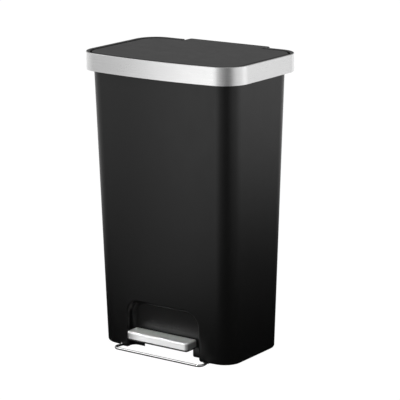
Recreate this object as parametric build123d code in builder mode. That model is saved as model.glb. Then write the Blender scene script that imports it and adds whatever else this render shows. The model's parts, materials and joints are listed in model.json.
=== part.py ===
from build123d import *
import os
from math import asin, cos, radians, sin, sqrt, tan

# Pedal trash can. Millimetres, +Z up, the floor is Z = 0, the pedal faces -Y.
# The origin is the middle of the footprint of the whole can, hinge tab included.

# ---------------------------------------------------------------- driving sizes
# Rim: the widest outline, around the mouth
rim_width = 406
rim_depth = 275
rim_height = 650
rim_front_radius = 56
rim_back_radius = 51
front_bow_radius = 1200

# Steel band around the rim
band_height = 38.4
band_sheet = 1.2
band_hem = 3.5
band_edge_radius = 0.9

# Black collar inside the band
collar_wall = 2.5
collar_lip = 7
collar_lip_thickness = 3
collar_drop = 0.4
collar_edge_radius = 2

# Body: one tapered moulding
side_overhang = 17
front_overhang = 16
back_overhang = 18
side_draft = 1.24
depth_draft = 1.665
body_radius = 40
body_wall = 2.6
bottom_round = 5
flange_drop = 21
flange_thickness = 3
floor_height = 64
floor_thickness = 3
floor_round = 12
rib_height = 12
rib_thickness = 2.4
rib_spacing = 90
rib_count = 4

# Niche that the pedal stands in
niche_side_inset = 80.3
niche_top = 110
niche_depth = 24
niche_top_radius = 32
niche_inner_radius = 9
niche_mouth_radius = 6
niche_wall = 4
lever_opening_inset = 26.5
lever_opening_top = 44

# Channel down the back for the push rod, and its cover
channel_half_width = 24
channel_depth = 22
cover_half_width = 33
cover_thickness = 2.2
cover_bottom = 9
cover_top_gap = 10
cover_corner_radius = 5

# Feet and the wire bar
foot_height = 3
foot_radius = 11
foot_stud_radius = 4
foot_stud_length = 7
foot_edge_radius = 1
foot_boss_radius = 13
foot_inset = 34
bar_radius = 2.75
bar_height = 4.2
bar_reach = 21.3
bar_corner_radius = 13
bar_taper = 9.8
bar_tail = 40
clip_side_gap = 4.5
clip_length = 22
clip_width = 14
clip_top = 8
clip_bottom = 0.9
bar_splay = 1.5

# Lid
lid_gap = 3.4
tab_gap = 1.5
lid_drop = 1
lid_thickness = 2.5
lid_skirt = 9
lid_edge_radius = 3.2
lid_frame_thickness = 3.6
lid_frame_rib = 2.4
lid_rib_spacing = 64
lid_rib_count = 5
tab_half_width = 106
tab_overhang = 22
tab_corner_radius = 6
bumper_radius = 3.5
bumper_edge_radius = 1.2

# Hinge, crank and push rod
hinge_overhang = 5.5
hinge_drop = 10
hinge_pin_radius = 2.5
hinge_lug_radius = 5.5
hinge_lug_width = 12
hinge_lug_gap = 0.4
outer_lug_inset = 36
hinge_lug_pitch = 40
bracket_thickness = 3
leaf_thickness = 2.5
leaf_depth = 15
bracket_margin = 4
hinge_screw_gap = 6
clip_ring_thickness = 1
notch_lift = 8.4
lid_swing = 75
crank_radius = 27
crank_pin_radius = 2.5
crank_thickness = 6
crank_eye_radius = 5.5
head_cheek = 4.5
head_wall = 2.2
head_neck_radius = 6
head_fork_depth = 16
head_neck_length = 12
rod_radius = 3
rod_inset = 9.6
rod_insertion = 12
guide_thickness = 12
lower_guide_height = 140
upper_guide_drop = 50.6
guide_screw_x = 16
yoke_length = 26
yoke_wall = 3
yoke_drift = 0.75

# Pedal and lever
pedal_side_gap = 11.5
pedal_depth = 37.6
pedal_reach = 19.4
pedal_top = 48
pedal_cover_height = 16
pedal_core_height = 19
pedal_corner_radius = 8
pedal_back_radius = 4
pedal_edge_radius = 4
pedal_sheet = 1.2
pedal_core_wall = 3
pedal_front_arm = 86.6
axle_radius = 4
lever_half_width = 16
lever_sheet = 2.5
lever_pivot_radius = 8
lever_end_radius = 6.5
lever_front_height = 9
lever_fork_length = 16
lever_pin_radius = 3
bracket_plate = 3
bracket_foot = 20
axle_end = 3
bush_radius = 7
bush_length = 3
bracket_screw_x = 30
lever_front_gap = 8
lever_screw_y = 12
tread_thickness = 4.8

# Damper beside the push rod
damper_radius = 6
damper_bore = 4.1
damper_rod_radius = 1.5
damper_x = 14
damper_bottom = 330
damper_length = 62
damper_wall = 4
damper_piston_thickness = 6
damper_arm_thickness = 6

# Fasteners
screw_radius = 1.6
screw_head_radius = 3.2
screw_head_height = 1.6
screw_length = 9
pin_chamfer = 0.5

# Clearances
running_clearance = 0.05
slot_clearance = 0.8
side_play = 0.4
seat_gap = 0.3
through = 40
skin = 1

# ---------------------------------------------------------------- derived sizes
can_y = -tab_overhang / 2
rim_front_y = can_y - rim_depth / 2
rim_back_y = can_y + rim_depth / 2
band_bottom = rim_height - band_height
flange_top = rim_height - flange_drop
flange_bottom = flange_top - flange_thickness
floor_bottom = floor_height - floor_thickness
collar_inset = band_sheet + collar_lip
collar_bottom = band_bottom + band_sheet
collar_top = rim_height - collar_drop
lid_inset = collar_inset + lid_gap
lid_top = rim_height - lid_drop
lid_bottom = lid_top - lid_skirt
frame_bottom = lid_bottom - lid_frame_thickness
lid_frame_inset = lid_inset + lid_thickness + side_play
tab_back_y = rim_back_y + tab_overhang
notch_half_width = tab_half_width + tab_gap
flange_inset = band_sheet + collar_wall

side_slope = tan(radians(side_draft))
depth_slope = tan(radians(depth_draft))


def front_bow(x):
    """How far the bowed front lies behind its middle, at a distance x to the side."""
    return front_bow_radius - sqrt(front_bow_radius**2 - x**2)


def body_half_width(z):
    return rim_width / 2 - side_overhang - (band_bottom - z) * side_slope


def body_front_y(z):
    return rim_front_y + front_overhang + (band_bottom - z) * depth_slope


def body_back_y(z):
    return rim_back_y - back_overhang - (band_bottom - z) * depth_slope


hinge_y = rim_back_y + hinge_overhang
hinge_z = rim_height - hinge_drop
bracket_back_y = rim_back_y - flange_inset - side_play
half_swing = radians(lid_swing / 2)
crank_y = hinge_y - crank_radius * cos(half_swing)
crank_z = hinge_z - crank_radius * sin(half_swing)
crank_drift = crank_radius * (1 - cos(half_swing)) / 2
rod_lift = 2 * crank_radius * sin(half_swing)
slot_y = crank_y - crank_drift

back_normal = (0, cos(radians(depth_draft)), -sin(radians(depth_draft)))
back_axis = Axis((0, 0, 0), back_normal)
rod_direction = (0, sin(radians(depth_draft)), cos(radians(depth_draft)))
back_plane = Plane(
    origin=(0, body_back_y(0), 0), x_dir=(-1, 0, 0), z_dir=back_normal
)
cover_top = band_bottom - cover_top_gap


def rod_y(z):
    """Y of the push rod's centre line at height z, parallel to the back wall."""
    return body_back_y(z) - rod_inset / cos(radians(depth_draft))


def rod_plane(z, x=0):
    """Plane square to the push rod at height z."""
    return Plane(origin=(x, rod_y(z), z), x_dir=(1, 0, 0), z_dir=rod_direction)


niche_half_width = body_half_width(0) - niche_side_inset
lever_opening_half_width = niche_half_width - lever_opening_inset
pedal_half_width = niche_half_width - pedal_side_gap
lever_seat = pedal_top - pedal_sheet - tread_thickness
hollow_bottom = pedal_top - pedal_sheet - pedal_core_height
pivot_height = lever_seat - lever_pivot_radius
niche_back_y = body_front_y(pedal_top) + niche_depth
pedal_front_y = body_front_y(pedal_top) - pedal_reach
pedal_back_y = pedal_front_y + pedal_depth
pivot_y = pedal_front_y + pedal_front_arm
rear_arm = rod_y(pivot_height) - pivot_y
half_pedal_swing = asin(rod_lift / 2 / rear_arm)
lever_pin_y = pivot_y + rear_arm * cos(half_pedal_swing)
lever_pin_z = pivot_height - rear_arm * sin(half_pedal_swing)
foot_x = body_half_width(foot_height) - foot_inset
foot_front_y = body_front_y(foot_height) + foot_inset
foot_back_y = body_back_y(foot_height) - foot_inset
bar_back_half_width = niche_half_width + niche_wall + clip_side_gap + clip_width / 2
bar_half_width = bar_back_half_width + bar_taper
bar_front_y = body_front_y(0) - bar_reach
bar_back_y = bar_front_y + bar_tail + bar_corner_radius
clip_y = bar_back_y - clip_length / 2

bar_corner_x = bar_half_width + bar_splay
bar_notch_x = bar_back_half_width + (bar_corner_x - bar_back_half_width) * (
    (bar_back_y - body_front_y(0) - front_bow(bar_back_half_width)) / (bar_back_y - bar_front_y)
)
bar_notch_width = 2 * (bar_radius + seat_gap + bar_splay)

notch_bottom = band_bottom + notch_lift
bracket_front_y = body_back_y(flange_top) - body_wall
bracket_plate_y = (bracket_front_y + bracket_back_y) / 2
outer_lug_x = tab_half_width - outer_lug_inset
inner_lug_x = outer_lug_x - hinge_lug_pitch
bracket_inner_x = inner_lug_x - bracket_margin
bracket_length = outer_lug_x + hinge_lug_width + bracket_margin - bracket_inner_x
hinge_screw_places = [
    (side * (x + hinge_lug_width + hinge_screw_gap), bracket_plate_y)
    for side in (-1, 1)
    for x in (inner_lug_x, inner_lug_x + hinge_lug_width)
]
inner_leaf_x = inner_lug_x + hinge_lug_width + hinge_lug_gap
outer_leaf_x = outer_lug_x + hinge_lug_width + hinge_lug_gap
pin_clip_x = outer_leaf_x + hinge_lug_width + hinge_lug_gap
hinge_pin_half_length = pin_clip_x + clip_ring_thickness + hinge_lug_gap
leaf_bottom = lid_top - lid_thickness - leaf_thickness
leaf_back_y = hinge_y - hinge_lug_radius - bracket_thickness
leaf_front_y = leaf_back_y - leaf_depth
leaf_half_width = tab_half_width - lid_thickness - side_play
leaf_corner_radius = leaf_thickness
head_half_width = crank_thickness / 2 + side_play + head_cheek
slot_half_y = crank_drift + crank_pin_radius + slot_clearance
slot_half_z = crank_pin_radius + slot_clearance
fork_z = crank_z - head_fork_depth
upper_guide_height = fork_z - head_neck_length - upper_guide_drop
yoke_slot_y = pivot_y + rear_arm * (1 + cos(half_pedal_swing)) / 2 - yoke_drift
yoke_slot_half_y = lever_pin_radius + yoke_drift + slot_clearance
yoke_slot_half_z = lever_pin_radius + slot_clearance / 2
yoke_half_width = lever_half_width - lever_sheet - 2 * bush_length
yoke_top = lever_pin_z + yoke_length
rod_bottom = yoke_top - rod_insertion
guide_screw_places = [
    (x, height)
    for x in (-guide_screw_x, guide_screw_x)
    for height in (lower_guide_height, upper_guide_height)
]
pedal_screw_places = [
    (x, pedal_front_y + lever_front_gap + lever_screw_y)
    for x in (-lever_half_width / 2, lever_half_width / 2)
]
bracket_x = lever_half_width + bush_length
lid_rib_height = lid_skirt - lid_thickness
bumper_inset = lid_frame_inset + bumper_radius + seat_gap
bumper_x = rim_width / 2 - bumper_inset
bumper_front_y = rim_front_y + rim_front_radius + bumper_radius
bumper_back_y = rim_back_y - rim_back_radius - bumper_radius


# ---------------------------------------------------------------- outlines
def inset_radius(radius, inset):
    """Corner radius of an outline moved in by inset, never quite sharp."""
    return max(radius - inset, side_play)


def bowed_outline(plane, half_width, front_y, back_y, front_radius, back_radius):
    """Straight sides and back, a front bowed on one large arc, rounded corners."""
    corner_y = front_y + front_bow(half_width)
    with BuildSketch(plane) as outline:
        with BuildLine():
            bow = ThreePointArc((-half_width, corner_y), (0, front_y), (half_width, corner_y))
            Polyline(bow @ 1, (half_width, back_y), (-half_width, back_y), bow @ 0)
        make_face()
        corners = outline.vertices().group_by(Axis.Y)
        fillet(corners[0], front_radius)
        fillet(outline.vertices().group_by(Axis.Y)[-1], back_radius)
    return outline.sketch


def rim_outline(z, inset=0):
    """Outline of the rim, moved in by inset, at height z."""
    return bowed_outline(
        Plane.XY.offset(z),
        rim_width / 2 - inset,
        rim_front_y + inset,
        rim_back_y - inset,
        inset_radius(rim_front_radius, inset),
        inset_radius(rim_back_radius, inset),
    )


def rim_ring(z, outer_inset, inner_inset):
    """Closed ring that follows the rim, between two insets."""
    with BuildSketch(Plane.XY.offset(z)) as ring:
        add(rim_outline(0, outer_inset))
        add(rim_outline(0, inner_inset), mode=Mode.SUBTRACT)
    return ring.sketch


def body_outline(z, inset=0):
    """Outline of the tapered body at height z, moved in by inset."""
    return bowed_outline(
        Plane.XY.offset(z),
        body_half_width(z) - inset,
        body_front_y(z) + inset,
        body_back_y(z) - inset,
        inset_radius(body_radius, inset),
        inset_radius(body_radius, inset),
    )


def lid_outline(z, inset=0):
    """Outline of the lid with its hinge tab, moved in by inset."""
    half_tab = tab_half_width - inset
    with BuildSketch(Plane.XY.offset(z)) as outline:
        add(rim_outline(0, lid_inset + inset))
        with BuildLine():
            Polyline(
                (-half_tab, can_y),
                (half_tab, can_y),
                (half_tab, tab_back_y - inset),
                (-half_tab, tab_back_y - inset),
                close=True,
            )
        make_face()
        fillet(outline.vertices().group_by(Axis.Y)[-1], inset_radius(tab_corner_radius, inset))
    return outline.sketch


def pedal_outline(z, inset=0):
    """Plan of the pedal, with large corners in front and small ones behind."""
    half_width = pedal_half_width - inset
    with BuildSketch(Plane.XY.offset(z)) as outline:
        with BuildLine():
            Polyline(
                (-half_width, pedal_front_y + inset),
                (half_width, pedal_front_y + inset),
                (half_width, pedal_back_y - inset),
                (-half_width, pedal_back_y - inset),
                close=True,
            )
        make_face()
        fillet(outline.vertices().group_by(Axis.Y)[0], inset_radius(pedal_corner_radius, inset))
        fillet(outline.vertices().group_by(Axis.Y)[-1], inset_radius(pedal_back_radius, inset))
    return outline.sketch


def niche_block(grow):
    """The niche as a solid, grown by the wall where it stands inside the body."""
    with BuildPart() as block:
        niche_back = Plane(
            origin=(0, niche_back_y + grow, 0), x_dir=(1, 0, 0), z_dir=(0, -1, 0)
        )
        with BuildSketch(niche_back) as mouth:
            with Locations((0, -through)):
                Rectangle(
                    2 * (niche_half_width + grow),
                    niche_top + grow + through,
                    align=(Align.CENTER, Align.MIN),
                )
            fillet(mouth.vertices().group_by(Axis.Y)[-1], niche_top_radius + grow)
        extrude(amount=niche_depth + grow + through)
        back_edges = block.faces().sort_by(Axis.Y)[-1].edges()
        fillet(back_edges.sort_by(Axis.Z)[1:], niche_inner_radius + grow)
    return block.part


def channel_block(grow, bottom, top):
    """The rod channel as a solid, square to the back wall, grown by the wall."""
    with BuildPart() as block:
        with BuildSketch(back_plane.offset(-channel_depth - grow)) as section:
            with Locations((0, bottom)):
                Rectangle(
                    2 * (channel_half_width + grow), top - bottom, align=(Align.CENTER, Align.MIN)
                )
        extrude(amount=channel_depth + grow + through)
    return block.part


def slab(plane, x_size, low, high):
    """Sketch of a slab as wide as x_size, centred, from low to high on the plane's Y."""
    with BuildSketch(plane) as section:
        with Locations((0, low)):
            Rectangle(x_size, high - low, align=(Align.CENTER, Align.MIN))
    return section.sketch


os.makedirs("parts", exist_ok=True)

# ---------------------------------------------------------------- body
# The bin's inside: tapered like the body, with the niche and the channel standing in it
with BuildPart() as bin_inside:
    loft([body_outline(floor_height, body_wall), body_outline(rim_height, body_wall)], ruled=True)
    fillet(bin_inside.edges().group_by(Axis.Z)[0], floor_round)
    add(niche_block(niche_wall), mode=Mode.SUBTRACT)
    add(channel_block(body_wall, 0, rim_height + through), mode=Mode.SUBTRACT)

# The space under the floor, with foot bosses, bar seats and floor ribs standing in it
with BuildPart() as under_floor:
    loft([body_outline(0, body_wall), body_outline(floor_bottom, body_wall)], ruled=True)
    add(niche_block(niche_wall), mode=Mode.SUBTRACT)
    with BuildSketch(Plane.XY.offset(foot_height)):
        for foot_y in (foot_front_y, foot_back_y):
            with Locations((-foot_x, foot_y), (foot_x, foot_y)):
                Circle(foot_boss_radius)
    extrude(amount=floor_bottom, mode=Mode.SUBTRACT)
    with BuildSketch(Plane.XY.offset(clip_top)):
        with Locations((-bar_back_half_width, clip_y), (bar_back_half_width, clip_y)):
            Rectangle(clip_width, clip_length)
    extrude(amount=floor_bottom, mode=Mode.SUBTRACT)
    with BuildSketch(Plane.XY.offset(floor_bottom - rib_height)):
        with GridLocations(rib_spacing, 1, rib_count, 1):
            Rectangle(rib_thickness, rim_depth)
        with Locations((-rib_spacing, can_y), (rib_spacing, can_y)):
            Rectangle(rib_spacing, rib_thickness)
    extrude(amount=rib_height, mode=Mode.SUBTRACT)

with BuildPart() as body_shell:
    loft([body_outline(foot_height), body_outline(flange_top)], ruled=True)
    fillet(body_shell.edges().group_by(Axis.Z)[0], bottom_round)
    add(niche_block(0), mode=Mode.SUBTRACT)
    # The niche's mouth, rolled over into the front wall
    mouth_edges = (
        body_shell.edges()
        .filter_by_position(Axis.X, -niche_half_width - skin, niche_half_width + skin)
        .filter_by_position(Axis.Y, rim_front_y, body_front_y(0) + front_bow(niche_half_width) + skin)
        .filter_by_position(Axis.Z, foot_height + bottom_round + skin, niche_top + skin)
    )
    fillet(mouth_edges, niche_mouth_radius)
    extrude(rim_outline(flange_bottom, flange_inset), amount=flange_thickness)
    add(channel_block(0, -through, rim_height), mode=Mode.SUBTRACT)
    add(bin_inside.part, mode=Mode.SUBTRACT)
    add(under_floor.part, mode=Mode.SUBTRACT)
    # Opening for the lever in the niche's back wall
    extrude(
        slab(
            Plane.XY,
            2 * lever_opening_half_width,
            niche_back_y - side_play,
            niche_back_y + niche_wall + side_play,
        ),
        amount=lever_opening_top,
        mode=Mode.SUBTRACT,
    )
    # Notches for the wire bar in the front skirt
    with BuildSketch(Plane.XY):
        with Locations((-bar_notch_x, body_front_y(0)), (bar_notch_x, body_front_y(0))):
            Rectangle(bar_notch_width, 2 * bar_corner_radius)
    extrude(amount=clip_top, mode=Mode.SUBTRACT)
    # Foot sockets
    with BuildSketch(Plane.XY.offset(foot_height)):
        for foot_y in (foot_front_y, foot_back_y):
            with Locations((-foot_x, foot_y), (foot_x, foot_y)):
                Circle(foot_stud_radius)
    extrude(amount=foot_stud_length, mode=Mode.SUBTRACT)
    # Screw holes for the axle brackets
    with BuildSketch(Plane.XY.offset(floor_bottom)):
        with Locations((-bracket_screw_x, pivot_y), (bracket_screw_x, pivot_y)):
            Circle(screw_radius)
    extrude(amount=floor_thickness - skin, mode=Mode.SUBTRACT)
    # Screw holes for the hinge brackets
    with BuildSketch(Plane.XY.offset(flange_bottom)):
        with Locations(*hinge_screw_places):
            Circle(screw_radius)
    extrude(amount=flange_thickness, mode=Mode.SUBTRACT)
body_shell.part.label = "body_shell"
export_step(body_shell.part, "parts/body_shell.step")

with BuildPart() as foot:
    for foot_y in (foot_front_y, foot_back_y):
        with Locations((-foot_x, foot_y), (foot_x, foot_y)):
            Cylinder(foot_radius, foot_height, align=(Align.CENTER, Align.CENTER, Align.MIN))
    fillet(foot.edges().group_by(Axis.Z)[0], foot_edge_radius)
    with BuildSketch(Plane.XY.offset(foot_height)):
        for foot_y in (foot_front_y, foot_back_y):
            with Locations((-foot_x, foot_y), (foot_x, foot_y)):
                Circle(foot_stud_radius)
    extrude(amount=foot_stud_length - seat_gap)
foot.part.label = "rubber_feet"
export_step(foot.part, "parts/rubber_feet.step")

# ---------------------------------------------------------------- rim
# Space above and behind the rim's back that the hinge tab swings through
with BuildPart() as tab_room:
    extrude(
        slab(Plane.XY.offset(notch_bottom), 2 * notch_half_width, can_y, tab_back_y + through),
        amount=rim_height,
    )

with BuildPart() as steel_band:
    extrude(rim_ring(band_bottom, 0, band_sheet), amount=band_height)
    fillet(steel_band.faces().sort_by(Axis.Z)[-1].outer_wire().edges(), band_edge_radius)
    extrude(rim_ring(band_bottom, 0, band_hem), amount=band_sheet)
    add(tab_room.part, mode=Mode.SUBTRACT)
steel_band.part.label = "steel_band"
export_step(steel_band.part, "parts/steel_band.step")

with BuildPart() as rim_collar:
    extrude(rim_ring(collar_bottom, band_sheet, flange_inset), amount=collar_top - collar_bottom)
    extrude(
        rim_ring(collar_top - collar_lip_thickness, band_sheet, collar_inset),
        amount=collar_lip_thickness,
    )
    extrude(
        rim_ring(flange_top, collar_inset - collar_wall, collar_inset),
        amount=collar_top - flange_top,
    )
    top_edges = rim_collar.faces().sort_by(Axis.Z)[-1].inner_wires()[0].edges()
    fillet(top_edges, collar_edge_radius)
    add(tab_room.part, mode=Mode.SUBTRACT)
rim_collar.part.label = "rim_collar"
export_step(rim_collar.part, "parts/rim_collar.step")

# ---------------------------------------------------------------- lid
with BuildPart() as lid_panel:
    extrude(lid_outline(lid_bottom), amount=lid_skirt)
    fillet(lid_panel.edges().group_by(Axis.Z)[-1], lid_edge_radius)
    extrude(lid_outline(lid_bottom, lid_thickness), amount=lid_skirt - lid_thickness, mode=Mode.SUBTRACT)
lid_panel.part.label = "lid_panel"
export_step(lid_panel.part, "parts/lid_panel.step")

with BuildPart() as lid_frame:
    extrude(rim_outline(frame_bottom, lid_frame_inset), amount=lid_frame_thickness)
    # Ribs that carry the panel
    extrude(rim_ring(lid_bottom, lid_frame_inset, lid_frame_inset + lid_frame_rib), amount=lid_rib_height)
    with BuildSketch(Plane.XY.offset(lid_bottom)):
        with GridLocations(lid_rib_spacing, 1, lid_rib_count, 1):
            Rectangle(lid_frame_rib, rim_depth)
        add(rim_outline(0, lid_frame_inset + lid_frame_rib), mode=Mode.INTERSECT)
    extrude(amount=lid_rib_height)
    # Recess that clears the hinge leaf
    extrude(
        slab(Plane.XY.offset(lid_bottom), 2 * tab_half_width, leaf_front_y - side_play, rim_back_y),
        amount=lid_skirt,
        mode=Mode.SUBTRACT,
    )
lid_frame.part.label = "lid_frame"
export_step(lid_frame.part, "parts/lid_frame.step")

with BuildPart() as lid_bumpers:
    for bumper_y in (bumper_front_y, bumper_back_y):
        with Locations((-bumper_x, bumper_y, frame_bottom), (bumper_x, bumper_y, frame_bottom)):
            Cylinder(
                bumper_radius,
                frame_bottom - flange_top - seat_gap,
                align=(Align.CENTER, Align.CENTER, Align.MAX),
            )
    fillet(lid_bumpers.edges().group_by(Axis.Z)[0], bumper_edge_radius)
lid_bumpers.part.label = "lid_bumpers"
export_step(lid_bumpers.part, "parts/lid_bumpers.step")


# ---------------------------------------------------------------- hinge
def leaf_lug(x):
    """Side of a lug round the hinge axis, reaching forward and up to the leaf's plate."""
    with BuildSketch(Plane.YZ.offset(x)) as side:
        with Locations((hinge_y, hinge_z)):
            Circle(hinge_lug_radius)
        with Locations((leaf_back_y - leaf_thickness, leaf_bottom + leaf_thickness)):
            Rectangle(
                hinge_y - leaf_back_y + leaf_thickness,
                leaf_bottom + leaf_thickness - hinge_z + hinge_lug_radius / 2,
                align=(Align.MIN, Align.MAX),
            )
    return side.sketch


def hinge_bore(radius):
    """Straight bore along the hinge axis, right through the can's width."""
    with BuildPart() as bore:
        with BuildSketch(Plane.YZ.offset(-rim_width / 2)):
            with Locations((hinge_y, hinge_z)):
                Circle(radius)
        extrude(amount=rim_width)
    return bore.part


with BuildPart() as hinge_brackets:
    with BuildSketch(Plane.XY.offset(flange_top)):
        for side in (-1, 1):
            with Locations((side * (bracket_inner_x + bracket_length / 2), bracket_plate_y)):
                Rectangle(bracket_length, bracket_back_y - bracket_front_y)
    extrude(amount=bracket_thickness)
    for x in (inner_lug_x, outer_lug_x, -inner_lug_x - hinge_lug_width, -outer_lug_x - hinge_lug_width):
        with BuildSketch(Plane.YZ.offset(x)):
            with Locations((hinge_y, hinge_z)):
                Circle(hinge_lug_radius)
            with Locations((bracket_plate_y, flange_top)):
                Rectangle(
                    bracket_back_y - bracket_plate_y, bracket_thickness, align=(Align.MIN, Align.MIN)
                )
            make_hull()
        extrude(amount=hinge_lug_width)
    add(hinge_bore(hinge_pin_radius), mode=Mode.SUBTRACT)
    with BuildSketch(Plane.XY.offset(flange_top)):
        with Locations(*hinge_screw_places):
            Circle(screw_radius)
    extrude(amount=bracket_thickness, mode=Mode.SUBTRACT)
hinge_brackets.part.label = "hinge_brackets"
export_step(hinge_brackets.part, "parts/hinge_brackets.step")

with BuildPart() as hinge_screws:
    with Locations(*[(x, y, flange_top + bracket_thickness) for x, y in hinge_screw_places]):
        Cylinder(screw_head_radius, screw_head_height, align=(Align.CENTER, Align.CENTER, Align.MIN))
        Cylinder(screw_radius, screw_length, align=(Align.CENTER, Align.CENTER, Align.MAX))
hinge_screws.part.label = "hinge_screws"
export_step(hinge_screws.part, "parts/hinge_screws.step")

with BuildPart() as hinge_pin:
    with BuildSketch(Plane.YZ.offset(-hinge_pin_half_length)):
        with Locations((hinge_y, hinge_z)):
            Circle(hinge_pin_radius)
    extrude(amount=2 * hinge_pin_half_length)
    chamfer(hinge_pin.edges(), pin_chamfer)
hinge_pin.part.label = "hinge_pin"
export_step(hinge_pin.part, "parts/hinge_pin.step")

with BuildPart() as hinge_pin_clips:
    for x in (pin_clip_x, -pin_clip_x - clip_ring_thickness):
        with BuildSketch(Plane.YZ.offset(x)):
            with Locations((hinge_y, hinge_z)):
                Circle(2 * hinge_pin_radius)
                Circle(hinge_pin_radius, mode=Mode.SUBTRACT)
        extrude(amount=clip_ring_thickness)
hinge_pin_clips.part.label = "hinge_pin_clips"
export_step(hinge_pin_clips.part, "parts/hinge_pin_clips.step")

# The leaf under the lid's tab, with its lugs and the crank that the push rod lifts
with BuildPart() as hinge_leaf:
    extrude(
        slab(Plane.XY.offset(leaf_bottom), 2 * leaf_half_width, leaf_front_y, leaf_back_y),
        amount=leaf_thickness,
    )
    fillet(hinge_leaf.edges().filter_by(Axis.Z), leaf_corner_radius)
    for x in (inner_leaf_x, outer_leaf_x, -inner_leaf_x - hinge_lug_width, -outer_leaf_x - hinge_lug_width):
        extrude(leaf_lug(x), amount=hinge_lug_width)
    extrude(leaf_lug(-crank_thickness / 2), amount=crank_thickness)
    with BuildSketch(Plane.YZ.offset(-crank_thickness / 2)):
        with Locations((hinge_y, hinge_z)):
            Circle(hinge_lug_radius)
        with Locations((crank_y, crank_z)):
            Circle(crank_eye_radius)
        make_hull()
    extrude(amount=crank_thickness)
    add(hinge_bore(hinge_pin_radius + running_clearance), mode=Mode.SUBTRACT)
    with BuildSketch(Plane.YZ.offset(-crank_thickness)):
        with Locations((crank_y, crank_z)):
            Circle(crank_pin_radius)
    extrude(amount=2 * crank_thickness, mode=Mode.SUBTRACT)
hinge_leaf.part.label = "hinge_leaf"
export_step(hinge_leaf.part, "parts/hinge_leaf.step")

with BuildPart() as crank_pin:
    with BuildSketch(Plane.YZ):
        with Locations((crank_y, crank_z)):
            Circle(crank_pin_radius)
    extrude(amount=head_half_width + side_play, both=True)
crank_pin.part.label = "crank_pin"
export_step(crank_pin.part, "parts/crank_pin.step")

# ---------------------------------------------------------------- push rod
with BuildPart() as rod_head:
    with BuildSketch(Plane.YZ):
        with Locations((slot_y, crank_z)):
            Rectangle(2 * (slot_half_y + head_wall), 2 * (slot_half_z + head_wall))
        with Locations((rod_y(fork_z), fork_z)):
            Rectangle(
                2 * head_neck_radius, head_neck_length / 2, align=(Align.CENTER, Align.MAX)
            )
        make_hull()
    extrude(amount=head_half_width, both=True)
    # The fork's gap for the crank
    with BuildSketch(Plane.YZ):
        with Locations((slot_y, fork_z)):
            Rectangle(rim_depth, rim_height, align=(Align.CENTER, Align.MIN))
    extrude(amount=crank_thickness / 2 + side_play, both=True, mode=Mode.SUBTRACT)
    with BuildSketch(Plane.YZ):
        with Locations((slot_y, crank_z)):
            RectangleRounded(2 * slot_half_y, 2 * slot_half_z, slot_half_z - side_play)
    extrude(amount=2 * head_half_width, both=True, mode=Mode.SUBTRACT)
    with BuildSketch(rod_plane(fork_z - head_neck_length)):
        Circle(head_neck_radius)
    extrude(amount=head_neck_length - side_play)
    with BuildSketch(rod_plane(fork_z - head_neck_length)):
        Circle(rod_radius)
    extrude(amount=rod_insertion - side_play, mode=Mode.SUBTRACT)
rod_head.part.label = "rod_head"
export_step(rod_head.part, "parts/rod_head.step")

with BuildPart() as push_rod:
    with BuildSketch(rod_plane(rod_bottom)):
        Circle(rod_radius)
    extrude(amount=(fork_z - head_neck_length - rod_bottom) / rod_direction[2] + rod_insertion - side_play)
push_rod.part.label = "push_rod"
export_step(push_rod.part, "parts/push_rod.step")

with BuildPart() as rod_yoke:
    with BuildSketch(Plane.YZ):
        with Locations((yoke_slot_y, lever_pin_z)):
            Rectangle(2 * (yoke_slot_half_y + yoke_wall), 2 * (yoke_slot_half_z + yoke_wall))
        with Locations((rod_y(yoke_top), yoke_top)):
            Rectangle(2 * head_neck_radius, yoke_wall, align=(Align.CENTER, Align.MAX))
        make_hull()
    extrude(amount=yoke_half_width, both=True)
    with BuildSketch(Plane.YZ):
        with Locations((yoke_slot_y, lever_pin_z)):
            RectangleRounded(2 * yoke_slot_half_y, 2 * yoke_slot_half_z, yoke_slot_half_z - side_play)
    extrude(amount=2 * yoke_half_width, both=True, mode=Mode.SUBTRACT)
    with BuildSketch(rod_plane(rod_bottom)):
        Circle(rod_radius)
    extrude(amount=yoke_length, mode=Mode.SUBTRACT)
rod_yoke.part.label = "rod_yoke"
export_step(rod_yoke.part, "parts/rod_yoke.step")

# Guides in the channel, bored for the rod
with BuildPart() as rod_bore:
    with BuildSketch(rod_plane(lower_guide_height - through)):
        Circle(rod_radius + running_clearance)
    extrude(amount=upper_guide_height)

with BuildPart() as rod_guides:
    with BuildSketch(back_plane.offset(-channel_depth)):
        with Locations((0, lower_guide_height), (0, upper_guide_height)):
            Rectangle(2 * channel_half_width, guide_thickness)
    extrude(amount=channel_depth)
    add(rod_bore.part, mode=Mode.SUBTRACT)
    with BuildSketch(back_plane):
        with Locations(*guide_screw_places):
            Circle(screw_radius)
    extrude(amount=-screw_length, mode=Mode.SUBTRACT)
rod_guides.part.label = "rod_guides"
export_step(rod_guides.part, "parts/rod_guides.step")

with BuildPart() as back_cover:
    with BuildSketch(back_plane):
        with Locations((0, cover_bottom)):
            Rectangle(2 * cover_half_width, cover_top - cover_bottom, align=(Align.CENTER, Align.MIN))
    extrude(amount=cover_thickness)
    fillet(back_cover.edges().filter_by(back_axis), cover_corner_radius)
    chamfer(back_cover.faces().sort_by(back_axis)[-1].outer_wire().edges(), cover_thickness / 2)
    with BuildSketch(back_plane):
        with Locations(*guide_screw_places):
            Circle(screw_radius)
    extrude(amount=cover_thickness, mode=Mode.SUBTRACT)
back_cover.part.label = "back_cover"
export_step(back_cover.part, "parts/back_cover.step")

with BuildPart() as cover_screws:
    with BuildSketch(back_plane.offset(cover_thickness)):
        with Locations(*guide_screw_places):
            Circle(screw_head_radius)
    extrude(amount=screw_head_height)
    with BuildSketch(back_plane.offset(cover_thickness)):
        with Locations(*guide_screw_places):
            Circle(screw_radius)
    extrude(amount=-screw_length)
cover_screws.part.label = "cover_screws"
export_step(cover_screws.part, "parts/cover_screws.step")

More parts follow.
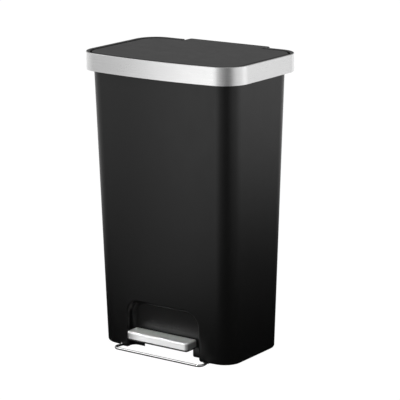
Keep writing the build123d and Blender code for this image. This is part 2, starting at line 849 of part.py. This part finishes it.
# ---------------------------------------------------------------- damper
with BuildPart() as damper_cylinder:
    with BuildSketch(rod_plane(damper_bottom, damper_x)):
        Circle(damper_radius)
    extrude(amount=damper_length)
    with BuildSketch(back_plane.offset(-channel_depth)):
        with Locations((-damper_x, damper_bottom + 2 * damper_radius)):
            Rectangle(2 * damper_radius, 2 * damper_radius)
    extrude(amount=channel_depth - rod_inset)
    with BuildSketch(rod_plane(damper_bottom, damper_x).offset(damper_wall)):
        Circle(damper_bore)
    extrude(amount=damper_length - 2 * damper_wall, mode=Mode.SUBTRACT)
    with BuildSketch(rod_plane(damper_bottom, damper_x).offset(damper_wall)):
        Circle(damper_rod_radius + running_clearance)
    extrude(amount=damper_length, mode=Mode.SUBTRACT)
damper_cylinder.part.label = "damper_cylinder"
export_step(damper_cylinder.part, "parts/damper_cylinder.step")

with BuildPart() as damper_piston:
    with BuildSketch(rod_plane(damper_bottom, damper_x).offset(2 * damper_wall)):
        Circle(damper_bore - running_clearance)
    extrude(amount=damper_piston_thickness)
    with BuildSketch(rod_plane(damper_bottom, damper_x).offset(2 * damper_wall)):
        Circle(damper_rod_radius)
    extrude(amount=damper_length)
    with BuildSketch(rod_plane(damper_bottom).offset(damper_length + damper_wall)):
        with Locations((damper_x, 0), (0, 0)):
            Circle(damper_radius)
        make_hull()
    extrude(amount=damper_arm_thickness)
    with BuildSketch(rod_plane(damper_bottom)):
        Circle(rod_radius)
    extrude(amount=2 * damper_length, mode=Mode.SUBTRACT)
damper_piston.part.label = "damper_piston"
export_step(damper_piston.part, "parts/damper_piston.step")

# ---------------------------------------------------------------- pedal
with BuildPart() as pedal_core:
    extrude(pedal_outline(hollow_bottom, pedal_sheet), amount=pedal_core_height)
    fillet(pedal_core.edges().group_by(Axis.Z)[-1], pedal_edge_radius - pedal_sheet)
    fillet(pedal_core.edges().group_by(Axis.Z)[0], pedal_sheet)
with BuildPart() as pedal_cover:
    extrude(pedal_outline(pedal_top - pedal_cover_height), amount=pedal_cover_height)
    fillet(pedal_cover.edges().group_by(Axis.Z)[-1], pedal_edge_radius)
    add(pedal_core.part, mode=Mode.SUBTRACT)
    extrude(
        slab(
            Plane.XY.offset(pedal_top - pedal_cover_height),
            2 * lever_half_width,
            pivot_y - pedal_front_arm + pedal_depth / 2,
            niche_back_y,
        ),
        amount=lever_seat - pedal_top + pedal_cover_height,
        mode=Mode.SUBTRACT,
    )
pedal_cover.part.label = "pedal_cover"
export_step(pedal_cover.part, "parts/pedal_cover.step")

# Hollow underside of the core, with a pocket for the lever between two ribs
with BuildPart() as pedal_hollow:
    extrude(
        pedal_outline(hollow_bottom, pedal_sheet + pedal_core_wall), amount=lever_seat - hollow_bottom
    )
    with BuildSketch(Plane.XY.offset(hollow_bottom)):
        with Locations((0, pedal_front_y)):
            Rectangle(2 * (lever_half_width + pedal_core_wall), 2 * pedal_front_arm)
    extrude(amount=pedal_core_height, mode=Mode.SUBTRACT)
with BuildPart() as finished_core:
    add(pedal_core.part)
    add(pedal_hollow.part, mode=Mode.SUBTRACT)
    extrude(
        slab(
            Plane.XY.offset(hollow_bottom),
            2 * lever_half_width,
            pedal_front_y + lever_front_gap,
            niche_back_y,
        ),
        amount=lever_seat - hollow_bottom,
        mode=Mode.SUBTRACT,
    )
    with BuildSketch(Plane.XY.offset(lever_seat)):
        with Locations(*pedal_screw_places):
            Circle(screw_radius)
    extrude(amount=tread_thickness - pedal_sheet, mode=Mode.SUBTRACT)
finished_core.part.label = "pedal_core"
export_step(finished_core.part, "parts/pedal_core.step")


def lever_side(drop):
    """Side outline of the lever, moved down by drop."""
    with BuildSketch(Plane.YZ) as rear_arm_side:
        with Locations((pivot_y, pivot_height - drop)):
            Circle(lever_pivot_radius)
        with Locations((lever_pin_y, lever_pin_z - drop)):
            Circle(lever_end_radius)
        make_hull()
    with BuildSketch(Plane.YZ) as front_arm_side:
        with Locations((pivot_y, pivot_height - drop)):
            Circle(lever_pivot_radius)
        with Locations((pedal_front_y + lever_front_gap, lever_seat - drop)):
            Rectangle(pedal_depth - lever_front_gap, lever_front_height, align=(Align.MIN, Align.MAX))
        make_hull()
    with BuildSketch(Plane.YZ) as side:
        add(rear_arm_side.sketch_local)
        add(front_arm_side.sketch_local)
    return side.sketch


# The lever: a folded sheet, open below, from the pedal over the axle to the rod
with BuildPart() as pedal_lever:
    extrude(lever_side(0), amount=lever_half_width, both=True)
    extrude(lever_side(lever_sheet), amount=lever_half_width - lever_sheet, both=True, mode=Mode.SUBTRACT)
    # The fork at the back that the rod's yoke stands in
    extrude(
        slab(Plane.XY, 2 * (lever_half_width - lever_sheet), lever_pin_y - lever_fork_length, rim_back_y),
        amount=floor_bottom,
        mode=Mode.SUBTRACT,
    )
    with BuildSketch(Plane.YZ):
        with Locations((pivot_y, pivot_height)):
            Circle(axle_radius + running_clearance)
        with Locations((lever_pin_y, lever_pin_z)):
            Circle(lever_pin_radius)
    extrude(amount=2 * lever_half_width, both=True, mode=Mode.SUBTRACT)
    with BuildSketch(Plane.XY):
        with Locations(*pedal_screw_places):
            Circle(screw_radius)
    extrude(amount=rim_height, mode=Mode.SUBTRACT)
pedal_lever.part.label = "pedal_lever"
export_step(pedal_lever.part, "parts/pedal_lever.step")

with BuildPart() as lever_pin:
    with BuildSketch(Plane.YZ):
        with Locations((lever_pin_y, lever_pin_z)):
            Circle(lever_pin_radius)
    extrude(amount=lever_half_width + lever_pin_radius / 2, both=True)
    chamfer(lever_pin.edges(), pin_chamfer)
lever_pin.part.label = "lever_pin"
export_step(lever_pin.part, "parts/lever_pin.step")

with BuildPart() as pedal_screws:
    with BuildSketch(Plane.XY.offset(lever_seat - lever_sheet)):
        with Locations(*pedal_screw_places):
            Circle(screw_head_radius)
    extrude(amount=-screw_head_height)
    with BuildSketch(Plane.XY.offset(lever_seat - lever_sheet)):
        with Locations(*pedal_screw_places):
            Circle(screw_radius)
    extrude(amount=lever_sheet + tread_thickness - pedal_sheet)
pedal_screws.part.label = "pedal_screws"
export_step(pedal_screws.part, "parts/pedal_screws.step")

with BuildPart() as pedal_axle:
    with BuildSketch(Plane.YZ):
        with Locations((pivot_y, pivot_height)):
            Circle(axle_radius)
    extrude(amount=bracket_x + bracket_plate + axle_end, both=True)
    chamfer(pedal_axle.edges(), pin_chamfer)
pedal_axle.part.label = "pedal_axle"
export_step(pedal_axle.part, "parts/pedal_axle.step")

with BuildPart() as axle_bushes:
    with BuildSketch(Plane.YZ.offset(lever_half_width + side_play / 2)):
        with Locations((pivot_y, pivot_height)):
            Circle(bush_radius)
            Circle(axle_radius, mode=Mode.SUBTRACT)
    extrude(amount=bush_length - side_play)
    mirror(about=Plane.YZ)
axle_bushes.part.label = "axle_bushes"
export_step(axle_bushes.part, "parts/axle_bushes.step")

with BuildPart() as axle_clips:
    with BuildSketch(Plane.YZ.offset(bracket_x + bracket_plate)):
        with Locations((pivot_y, pivot_height)):
            Circle(bush_radius)
            Circle(axle_radius, mode=Mode.SUBTRACT)
    extrude(amount=clip_ring_thickness)
    mirror(about=Plane.YZ)
axle_clips.part.label = "axle_clips"
export_step(axle_clips.part, "parts/axle_clips.step")

# A folded bracket each side of the lever, hung from the floor
with BuildPart() as axle_brackets:
    with BuildSketch(Plane.YZ.offset(bracket_x)):
        with Locations((pivot_y, pivot_height)):
            Circle(bush_radius + bracket_plate)
        with Locations((pivot_y, floor_bottom)):
            Rectangle(bracket_foot, bracket_plate, align=(Align.CENTER, Align.MAX))
        make_hull()
        with Locations((pivot_y, pivot_height)):
            Circle(axle_radius, mode=Mode.SUBTRACT)
    extrude(amount=bracket_plate)
    with BuildSketch(Plane.XY.offset(floor_bottom)):
        with Locations((bracket_x, pivot_y)):
            Rectangle(bracket_foot, bracket_foot, align=(Align.MIN, Align.CENTER))
        with Locations((bracket_screw_x, pivot_y)):
            Circle(screw_radius, mode=Mode.SUBTRACT)
    extrude(amount=-bracket_plate)
    mirror(about=Plane.YZ)
axle_brackets.part.label = "axle_brackets"
export_step(axle_brackets.part, "parts/axle_brackets.step")

with BuildPart() as bracket_screws:
    with Locations(
        (-bracket_screw_x, pivot_y, floor_bottom - bracket_plate),
        (bracket_screw_x, pivot_y, floor_bottom - bracket_plate),
    ):
        Cylinder(screw_head_radius, screw_head_height, align=(Align.CENTER, Align.CENTER, Align.MAX))
        Cylinder(
            screw_radius,
            bracket_plate + floor_thickness - skin - seat_gap,
            align=(Align.CENTER, Align.CENTER, Align.MIN),
        )
bracket_screws.part.label = "bracket_screws"
export_step(bracket_screws.part, "parts/bracket_screws.step")

# ---------------------------------------------------------------- wire bar
with BuildPart() as stabiliser_bar:
    with BuildLine():
        bar_line = FilletPolyline(
            (-bar_back_half_width, bar_back_y, bar_height),
            (-bar_corner_x, bar_front_y, bar_height),
            (bar_corner_x, bar_front_y, bar_height),
            (bar_back_half_width, bar_back_y, bar_height),
            radius=bar_corner_radius,
        )
    with BuildSketch(Plane(origin=bar_line @ 0, z_dir=bar_line % 0)):
        Circle(bar_radius)
    sweep()
stabiliser_bar.part.label = "stabiliser_bar"
export_step(stabiliser_bar.part, "parts/stabiliser_bar.step")

with BuildPart() as bar_clips:
    with BuildSketch(Plane.XY.offset(clip_top)):
        with Locations((-bar_back_half_width, clip_y), (bar_back_half_width, clip_y)):
            Rectangle(clip_width, clip_length)
    extrude(amount=clip_bottom - clip_top)
    fillet(bar_clips.edges().filter_by(Axis.Z), bar_radius / 2)
    add(stabiliser_bar.part, mode=Mode.SUBTRACT)
bar_clips.part.label = "bar_clips"
export_step(bar_clips.part, "parts/bar_clips.step")
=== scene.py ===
import bpy
import bmesh
import json
import math
from collections import namedtuple
from mathutils import Matrix, Vector


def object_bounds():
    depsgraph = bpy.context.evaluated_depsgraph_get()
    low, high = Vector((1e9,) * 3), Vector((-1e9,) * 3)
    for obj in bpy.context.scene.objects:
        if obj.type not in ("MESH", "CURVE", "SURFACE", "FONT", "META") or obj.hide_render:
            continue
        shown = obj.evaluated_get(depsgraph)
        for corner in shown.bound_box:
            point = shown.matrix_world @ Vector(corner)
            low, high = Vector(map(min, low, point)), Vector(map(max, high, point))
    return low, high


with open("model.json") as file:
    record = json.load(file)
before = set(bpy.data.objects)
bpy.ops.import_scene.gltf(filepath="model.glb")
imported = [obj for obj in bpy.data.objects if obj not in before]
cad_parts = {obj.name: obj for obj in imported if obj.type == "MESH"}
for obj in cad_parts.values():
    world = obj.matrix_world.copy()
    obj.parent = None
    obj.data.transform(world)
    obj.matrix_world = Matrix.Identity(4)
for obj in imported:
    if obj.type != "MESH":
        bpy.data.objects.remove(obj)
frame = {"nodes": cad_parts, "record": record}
nodes = frame["nodes"]
cad_box = [list(corner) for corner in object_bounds()]
scene = bpy.context.scene
scene.view_settings.view_transform = "Standard"

# ------------------------------------------------------------------ camera
AZIMUTH, ELEVATION, ROLL = math.radians(35.83), math.radians(13.698), math.radians(-0.4767)
DISTANCE, LENS, SENSOR = 4.2723, 177.83, 36.0
SHIFT_X, SHIFT_Y = 0.0276, 0.0012
CLIP_START, CLIP_END = 0.05, 100.0
TARGET = Vector((0.0, -0.011, 0.325))

back = Vector((
    math.sin(AZIMUTH) * math.cos(ELEVATION),
    -math.cos(AZIMUTH) * math.cos(ELEVATION),
    math.sin(ELEVATION),
))
level = Vector((math.cos(AZIMUTH), math.sin(AZIMUTH), 0.0))
upright = back.cross(level)
right = level * math.cos(ROLL) + upright * math.sin(ROLL)
up = upright * math.cos(ROLL) - level * math.sin(ROLL)
camera = bpy.data.objects.new("camera", bpy.data.cameras.new("camera"))
camera.data.lens, camera.data.sensor_width = LENS, SENSOR
camera.data.shift_x, camera.data.shift_y = SHIFT_X, SHIFT_Y
camera.data.clip_start, camera.data.clip_end = CLIP_START, CLIP_END
camera.matrix_world = Matrix.Translation(TARGET + back * DISTANCE) @ Matrix((
    (right.x, up.x, back.x, 0.0),
    (right.y, up.y, back.y, 0.0),
    (right.z, up.z, back.z, 0.0),
    (0.0, 0.0, 0.0, 1.0),
))
scene.collection.objects.link(camera)
scene.camera = camera


# ------------------------------------------------------------------ materials
WHITE, BLACK = (1.0, 1.0, 1.0, 1.0), (0.0, 0.0, 0.0, 1.0)
DUST_TONE, DUST_WARMTH = 0.42, 0.03
SCUFF_TONE, SCUFF_HEIGHT = 0.16, 0.16


class Shader:
    """A Principled material whose nodes are all procedural, in the object's own metres."""

    def __init__(self, name, **sockets):
        self.material = bpy.data.materials.new(name)
        self.material.use_nodes = True
        self.tree = self.material.node_tree
        self.surface = self.tree.nodes["Principled BSDF"]
        for socket, value in sockets.items():
            self.surface.inputs[socket.replace("_", " ")].default_value = value
        self.place = self.node("ShaderNodeTexCoord").outputs["Object"]

    def node(self, kind, **settings):
        made = self.tree.nodes.new(kind)
        for key, value in settings.items():
            setattr(made, key, value)
        return made

    def link(self, source, target):
        self.tree.links.new(source, target)

    def noise(self, scale, detail=2.0, stretch=None, distortion=0.0):
        """Noise value at a scale per metre, squeezed along the axes by stretch."""
        place = self.place
        if stretch:
            mapping = self.node("ShaderNodeMapping")
            mapping.inputs["Scale"].default_value = stretch
            self.link(place, mapping.inputs["Vector"])
            place = mapping.outputs["Vector"]
        noise = self.node("ShaderNodeTexNoise")
        noise.inputs["Scale"].default_value = scale
        noise.inputs["Detail"].default_value = detail
        noise.inputs["Distortion"].default_value = distortion
        self.link(place, noise.inputs["Vector"])
        return noise.outputs["Fac"]

    def spread(self, value, low, high, start=0.3, stop=0.7):
        """Maps a noise value between start and stop onto low to high."""
        ramp = self.node("ShaderNodeMapRange")
        ramp.inputs["From Min"].default_value = start
        ramp.inputs["From Max"].default_value = stop
        ramp.inputs["To Min"].default_value = low
        ramp.inputs["To Max"].default_value = high
        self.link(value, ramp.inputs["Value"])
        return ramp.outputs["Result"]

    def math(self, operation, first, second):
        """Sum or product; each side is a number or a socket."""
        node = self.node("ShaderNodeMath", operation=operation)
        for socket, value in zip(node.inputs, (first, second)):
            if isinstance(value, (int, float)):
                socket.default_value = value
            else:
                self.link(value, socket)
        return node.outputs["Value"]

    def mix(self, factor, first, second):
        """Colour mix; each colour is an RGB triple or a socket."""
        node = self.node("ShaderNodeMix", data_type="RGBA")
        ends = [socket for socket in node.inputs if socket.type == "RGBA"]
        for socket, value in zip(ends, (first, second)):
            if isinstance(value, tuple):
                socket.default_value = (*value, 1.0)
            else:
                self.link(value, socket)
        self.link(factor, node.inputs["Factor"])
        return next(socket for socket in node.outputs if socket.type == "RGBA")

    def colour(self, socket):
        self.link(socket, self.surface.inputs["Base Color"])

    def roughness(self, socket):
        self.link(socket, self.surface.inputs["Roughness"])

    def bump(self, height, strength, distance):
        node = self.node("ShaderNodeBump")
        node.inputs["Strength"].default_value = strength
        node.inputs["Distance"].default_value = distance
        self.link(height, node.inputs["Height"])
        self.link(node.outputs["Normal"], self.surface.inputs["Normal"])


def grey(value, warmth=0.0):
    """A neutral tone, warmer with more red and less blue."""
    return (value * (1 + warmth), value, value * (1 - warmth))


def satin_plastic(name, tone, rough, gloss, dust=0.0, scuff=0.0, grain=1500.0):
    """Moulded polypropylene: spark-eroded grain, slow colour drift, handling marks."""
    m = Shader(name, Specular_IOR_Level=gloss)
    darker, lighter, flats = grey(tone * 0.93), grey(tone * 1.08), grey(tone * 1.5)
    drift = m.spread(m.noise(7.0, detail=3.0), 0.0, 1.0)
    colour = m.mix(drift, darker, lighter)
    # Fine speckle of the grain's flats
    speck = m.spread(m.noise(grain * 0.8, detail=1.0), 0.0, 1.0, start=0.45, stop=0.62)
    colour = m.mix(m.math("MULTIPLY", speck, 0.35), colour, flats)
    if dust:
        # Dust settles on what faces up
        facing = m.node("ShaderNodeSeparateXYZ")
        m.link(m.node("ShaderNodeNewGeometry").outputs["Normal"], facing.inputs["Vector"])
        settled = m.spread(facing.outputs["Z"], 0.0, dust, start=0.4, stop=1.0)
        patches = m.spread(m.noise(90.0, detail=4.0, distortion=0.6), 0.6, 1.0)
        dusty = m.math("MULTIPLY", settled, patches)
        colour = m.mix(dusty, colour, grey(DUST_TONE, DUST_WARMTH))
    if scuff:
        # Shoe scuffs: short pale streaks along the floor, thickest low down
        height = m.node("ShaderNodeSeparateXYZ")
        m.link(m.place, height.inputs["Vector"])
        low = m.spread(height.outputs["Z"], 1.0, 0.0, start=0.0, stop=SCUFF_HEIGHT)
        along = m.noise(9.0, detail=6.0, stretch=(1.0, 1.0, 5.0), distortion=1.2)
        streaks = m.spread(along, 0.0, scuff, start=0.58, stop=0.7)
        colour = m.mix(m.math("MULTIPLY", low, streaks), colour, grey(SCUFF_TONE))
    m.colour(colour)
    smears = m.noise(38.0, detail=4.0, stretch=(1.0, 1.0, 0.6), distortion=0.8)
    m.roughness(m.spread(smears, rough - 0.015, rough + 0.02))
    m.bump(m.noise(grain), strength=0.22, distance=0.00012)
    return m.material


def brushed_steel(name, tone, rough, stretch, warmth=0.0, smudge=0.05, turned=False, metal=1.0):
    """Sheet steel brushed along the axis with the smallest stretch."""
    m = Shader(name, Metallic=metal, Anisotropic=0.35)
    darker, lighter = grey(tone * 0.93, warmth), grey(tone * 1.05, warmth)
    middle = grey(tone * 0.97, warmth)
    hairs = m.noise(1.0, detail=5.0, stretch=stretch)
    broad = m.noise(1.0, stretch=tuple(value * 0.12 for value in stretch))
    colour = m.mix(m.spread(hairs, 0.0, 1.0), darker, lighter)
    m.colour(m.mix(m.spread(broad, 0.0, 0.3), colour, middle))
    prints = m.noise(26.0, detail=3.0, distortion=1.4)
    fingers = m.spread(prints, 0.0, smudge, start=0.56, stop=0.68)
    m.roughness(m.math("ADD", m.spread(hairs, rough - 0.06, rough + 0.07), fingers))
    m.bump(hairs, strength=0.12, distance=0.00004)
    if turned:
        tangent = m.node("ShaderNodeTangent", direction_type="RADIAL", axis="Z")
        m.link(tangent.outputs["Tangent"], m.surface.inputs["Tangent"])
    return m.material


def plated(name, tone, rough, spots, warmth=0.0):
    """Plated steel: bright, with a slow mottle and small dull spots."""
    m = Shader(name, Metallic=1.0)
    darker, lighter = grey(tone * 0.88, warmth), grey(tone * 1.06, warmth)
    mottle = m.noise(spots, detail=4.0, distortion=0.5)
    m.colour(m.mix(m.spread(mottle, 0.0, 1.0), darker, lighter))
    dull = m.spread(m.noise(spots * 3.1), 0.0, 0.12, start=0.6, stop=0.7)
    m.roughness(m.math("ADD", m.spread(mottle, rough * 0.8, rough * 1.25), dull))
    m.bump(m.noise(spots * 5.0, detail=3.0), strength=0.08, distance=0.00005)
    return m.material


def soft_black(name, tone, rough, grain):
    """Rubber or nylon: dull, faintly cloudy, a soft skin."""
    m = Shader(name, Specular_IOR_Level=0.3)
    darker, lighter = grey(tone * 0.8), grey(tone * 1.25)
    cloud = m.noise(grain * 0.08, detail=4.0)
    m.colour(m.mix(m.spread(cloud, 0.0, 1.0), darker, lighter))
    skin = m.noise(grain * 0.3, detail=3.0)
    m.roughness(m.spread(skin, rough - 0.08, rough + 0.08))
    m.bump(m.noise(grain, detail=3.0), strength=0.3, distance=0.0001)
    return m.material


# How fine the brushing is along X, Y and Z, per metre
BAND_BRUSHING = (9.0, 9.0, 2600.0)
PEDAL_BRUSHING = (12.0, 1900.0, 1900.0)
ROD_BRUSHING = (900.0, 900.0, 8.0)

# What each material is made by, and how
RECIPES = {
    "body_plastic": (satin_plastic, dict(tone=0.006, rough=0.38, gloss=0.5, scuff=0.02)),
    "lid_plastic": (satin_plastic, dict(tone=0.012, rough=0.42, gloss=0.4, dust=0.008)),
    "collar_plastic": (satin_plastic, dict(tone=0.008, rough=0.38, gloss=0.5)),
    "cover_plastic": (satin_plastic, dict(tone=0.01, rough=0.46, gloss=0.4, scuff=0.03)),
    "lid_frame_plastic": (satin_plastic, dict(tone=0.024, rough=0.5, gloss=0.22, grain=900.0)),
    "band_steel": (
        brushed_steel,
        dict(tone=0.8, rough=0.32, stretch=BAND_BRUSHING, smudge=0.015, turned=True),
    ),
    "pedal_steel": (
        brushed_steel,
        dict(tone=0.8, rough=0.5, stretch=PEDAL_BRUSHING, metal=0.85),
    ),
    "bar_chrome": (plated, dict(tone=0.9, rough=0.06, spots=60.0)),
    "rod_steel": (
        brushed_steel,
        dict(tone=0.6, rough=0.32, stretch=ROD_BRUSHING, warmth=0.01),
    ),
    "zinc_steel": (plated, dict(tone=0.54, rough=0.34, spots=130.0, warmth=-0.02)),
    "nylon": (soft_black, dict(tone=0.13, rough=0.5, grain=1200.0)),
    "foot_rubber": (soft_black, dict(tone=0.025, rough=0.8, grain=1600.0)),
}
materials = {name: make(name, **settings) for name, (make, settings) in RECIPES.items()}
for part in frame["record"]["subparts"]:
    for slot in nodes[part["node"]].material_slots:
        slot.material = materials[part["material_slot"]]


# ------------------------------------------------------------------ floor and light
FLOOR_RADIUS, FLOOR_GAP = 40.0, 0.0002
BOUNCE_RADIUS, BOUNCE_GAP = 39.0, 0.001
DISC_SIDES = 96
SKY_STRENGTH = 0.38

# Lobes of light off the floor, each round a direction from the can. The azimuth is 0 at the
# front and grows to the left. A lobe grows with the cosine of the angle from it, from nothing
# at start to its strength at full, and with the distance from the can's middle in metres,
# from nothing at dark to all of it at bright.
Lobe = namedtuple("Lobe", "azimuth strength start full dark bright")
LOBES = [
    # What the front mirrors
    Lobe(12.0, 0.49, 0.95, 1.0, 0.6, 2.4),
    Lobe(22.0, 0.69, 0.95, 1.0, 0.6, 2.4),
    Lobe(5.0, 0.26, 0.6, 1.0, 0.6, 2.4),
    Lobe(25.0, 0.52, 0.6, 1.0, 0.6, 2.4),
    # Its foot, with a dark ring close to the can
    Lobe(20.0, 0.42, 0.84, 1.0, 1.4, 0.5),
    Lobe(20.0, -0.42, 0.84, 1.0, 0.6, 0.38),
    # The corner and the right side
    Lobe(-40.0, 0.1, 0.8, 1.0, 0.6, 2.5),
    Lobe(-100.0, 1.07, 0.7, 0.95, 1.2, 2.6),
    Lobe(-150.0, 0.74, 0.7, 0.95, 1.2, 2.6),
    # The left side and the back
    Lobe(110.0, 0.9, 0.5, 0.9, 0.6, 2.0),
    Lobe(155.0, 0.8, 0.6, 0.95, 0.6, 2.0),
]
# Softboxes: metres, watts and degrees
Softbox = namedtuple("Softbox", "name place aim width height power spread")
SOFTBOXES = [
    Softbox("left_box", (-1.5, -1.1, 1.72), (0.0, 0.0, 0.1), 1.8, 1.5, 10.5, 180.0),
    Softbox("pedal_low", (-0.34, -1.05, 0.055), (0.006, -0.15, 0.036), 0.14, 0.02, 0.0075, 3.0),
    Softbox("pedal_high", (-0.1, -0.6, 1.2), (0.01, -0.165, 0.04), 0.3, 0.1, 0.088, 10.0),
]


def disc(name, radius, height, material):
    mesh = bpy.data.meshes.new(name)
    shape = bmesh.new()
    bmesh.ops.create_circle(
        shape, cap_ends=True, cap_tris=False, segments=DISC_SIDES, radius=radius
    )
    shape.to_mesh(mesh)
    shape.free()
    mesh.materials.append(material)
    piece = bpy.data.objects.new(name, mesh)
    piece.location.z = height
    scene.collection.objects.link(piece)
    return piece


# The paper sweep that the can stands on, seen by the camera alone
paper = Shader("paper", Roughness=0.9, Specular_IOR_Level=0.1, Emission_Strength=1.0)
paper.surface.inputs["Emission Color"].default_value = WHITE
fibres = paper.spread(paper.noise(3.0, detail=4.0), 0.0, 1.0)
paper.colour(paper.mix(fibres, grey(0.03), grey(0.04)))
floor_height = min(cad_box[0][2], 0.0) - FLOOR_GAP
floor = disc("floor", FLOOR_RADIUS, floor_height, paper.material)
floor.visible_glossy = floor.visible_diffuse = False

# Under it the light that the sweep throws back, unseen by the camera
glow = Shader("glow", Roughness=1.0, Specular_IOR_Level=0.0)
glow.surface.inputs["Base Color"].default_value = BLACK
glow.surface.inputs["Emission Color"].default_value = WHITE
bounce = disc("bounce", BOUNCE_RADIUS, floor_height - BOUNCE_GAP, glow.material)
bounce.visible_camera = bounce.visible_shadow = False

flat = glow.node("ShaderNodeVectorMath", operation="MULTIPLY")
flat.inputs[1].default_value = (1.0, 1.0, 0.0)
glow.link(glow.place, flat.inputs[0])
reach = glow.node("ShaderNodeVectorMath", operation="LENGTH")
glow.link(flat.outputs["Vector"], reach.inputs[0])
aim = glow.node("ShaderNodeVectorMath", operation="NORMALIZE")
glow.link(flat.outputs["Vector"], aim.inputs[0])


def brightness(lobe):
    """Light of one lobe at each point of the disc."""
    turn = math.radians(lobe.azimuth)
    dot = glow.node("ShaderNodeVectorMath", operation="DOT_PRODUCT")
    dot.inputs[1].default_value = (-math.sin(turn), -math.cos(turn), 0.0)
    glow.link(aim.outputs["Vector"], dot.inputs[0])
    beam = glow.spread(dot.outputs["Value"], 0.0, lobe.strength, lobe.start, lobe.full)
    fade = glow.spread(reach.outputs["Value"], 0.0, 1.0, lobe.dark, lobe.bright)
    return glow.math("MULTIPLY", beam, fade)


light = brightness(LOBES[0])
for lobe in LOBES[1:]:
    light = glow.math("ADD", brightness(lobe), light)
glow.link(light, glow.surface.inputs["Emission Strength"])

world = bpy.data.worlds.new("studio")
world.use_nodes = True
sky = world.node_tree.nodes["Background"]
sky.inputs["Color"].default_value = WHITE
sky.inputs["Strength"].default_value = SKY_STRENGTH
scene.world = world

for softbox in SOFTBOXES:
    lamp = bpy.data.lights.new(softbox.name, "AREA")
    lamp.shape, lamp.size, lamp.size_y = "RECTANGLE", softbox.width, softbox.height
    lamp.energy, lamp.spread = softbox.power, math.radians(softbox.spread)
    box = bpy.data.objects.new(softbox.name, lamp)
    box.location = softbox.place
    towards = Vector(softbox.aim) - Vector(softbox.place)
    box.rotation_euler = towards.to_track_quat("-Z", "Y").to_euler()
    box.visible_camera = False
    scene.collection.objects.link(box)
